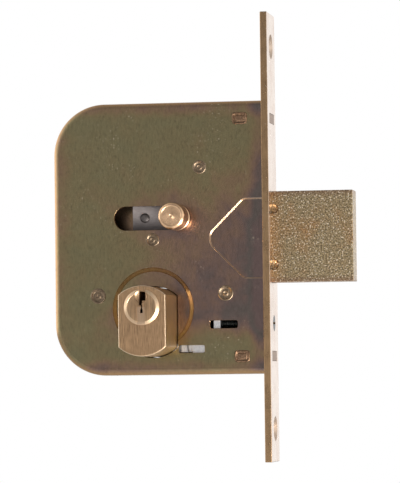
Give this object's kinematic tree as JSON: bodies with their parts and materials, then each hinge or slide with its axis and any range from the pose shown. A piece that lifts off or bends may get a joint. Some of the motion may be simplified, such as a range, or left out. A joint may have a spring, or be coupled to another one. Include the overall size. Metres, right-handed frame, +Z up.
{
  "type": "cased mortise deadlock",
  "caption": "Cased mortise deadlock with a long forend, a rectangular dead bolt, an oval double profile cylinder and a sliding thumb knob.",
  "frame": {"origin": "midway between the two fixing holes, on the seat face of the faceplate", "axes": "+X the way the bolt is thrown, out of the door edge; +Z up along the faceplate; the thumb-knob side faces -Y"},
  "size_m": [0.1279, 0.0724, 0.19],
  "materials": {
    "zinc_passivate": "yellow-passivated zinc plate, satin",
    "faceplate_steel": "yellow-passivated zinc plate, brushed",
    "tenon_steel": "passivated, peened",
    "post_steel": "passivated, staked",
    "spring_steel": "oiled",
    "bolt_steel": "passivated, shot-grained",
    "tail_steel": "dull grey",
    "turned_brass": "turned",
    "cylinder_brass": "brushed, matt nickel-brass",
    "plug_brass": "brushed",
    "bright_zinc": "bright zinc plate",
    "dark_screw": "blackened"
  },
  "bodies": {
    "case": {"front_case": "zinc_passivate", "back_cover": "zinc_passivate", "faceplate": "faceplate_steel", "upper_tenon_block": "tenon_steel", "lower_tenon_block": "tenon_steel", "rear_pillar": "post_steel", "front_pillar": "post_steel", "bolt_guide_post": "post_steel", "spring_post": "post_steel", "brake_spring": "spring_steel", "cylinder_body": "cylinder_brass", "front_driver_pins": "turned_brass", "rear_driver_pins": "turned_brass", "front_pin_springs": "spring_steel", "rear_pin_springs": "spring_steel", "chamber_caps": "turned_brass", "drill_pins": "post_steel"},
    "bolt": {"bolt_head": "bolt_steel", "bolt_rivets": "post_steel", "bolt_tail": "tail_steel", "tail_stud": "tail_steel", "knob_stem": "tail_steel", "knob": "turned_brass"},
    "front_plug": {"front_plug": "plug_brass", "front_circlip": "spring_steel", "front_key_pins": "turned_brass", "cam": "tail_steel", "cam_coupler": "tail_steel"},
    "rear_plug": {"rear_plug": "plug_brass", "rear_circlip": "spring_steel", "rear_key_pins": "turned_brass"},
    "clamp_screw": {"clamp_screw": "dark_screw"},
    "cylinder_clamp": {"cylinder_clamp": "bright_zinc"}
  },
  "joints": [
    {"name": "bolt_slide", "type": "slide", "parent": "case", "child": "bolt", "axis": [1, 0, 0], "range_m": [-0.022, 0]},
    {"name": "front_plug_turn", "type": "hinge", "parent": "case", "child": "front_plug", "pos_m": [-0.0475, -0.02, -0.0296], "axis": [0, 1, 0], "range_deg": [-115, 115]},
    {"name": "rear_plug_turn", "type": "hinge", "parent": "case", "child": "rear_plug", "pos_m": [-0.0475, 0.02, -0.0296], "axis": [0, 1, 0], "range_deg": [-115, 115]},
    {"name": "clamp_screw_turn", "type": "hinge", "parent": "case", "child": "clamp_screw", "pos_m": [0, 0, -0.0364], "axis": [1, 0, 0], "range_deg": [-1800, 0]},
    {"name": "clamp_slide", "type": "slide", "parent": "case", "child": "cylinder_clamp", "axis": [1, 0, 0], "range_m": [0, 0.004]}
  ],
  "couplings": [
    {"joint": "clamp_screw_turn", "follows": "clamp_slide", "rad_per_m": -7854}
  ]
}
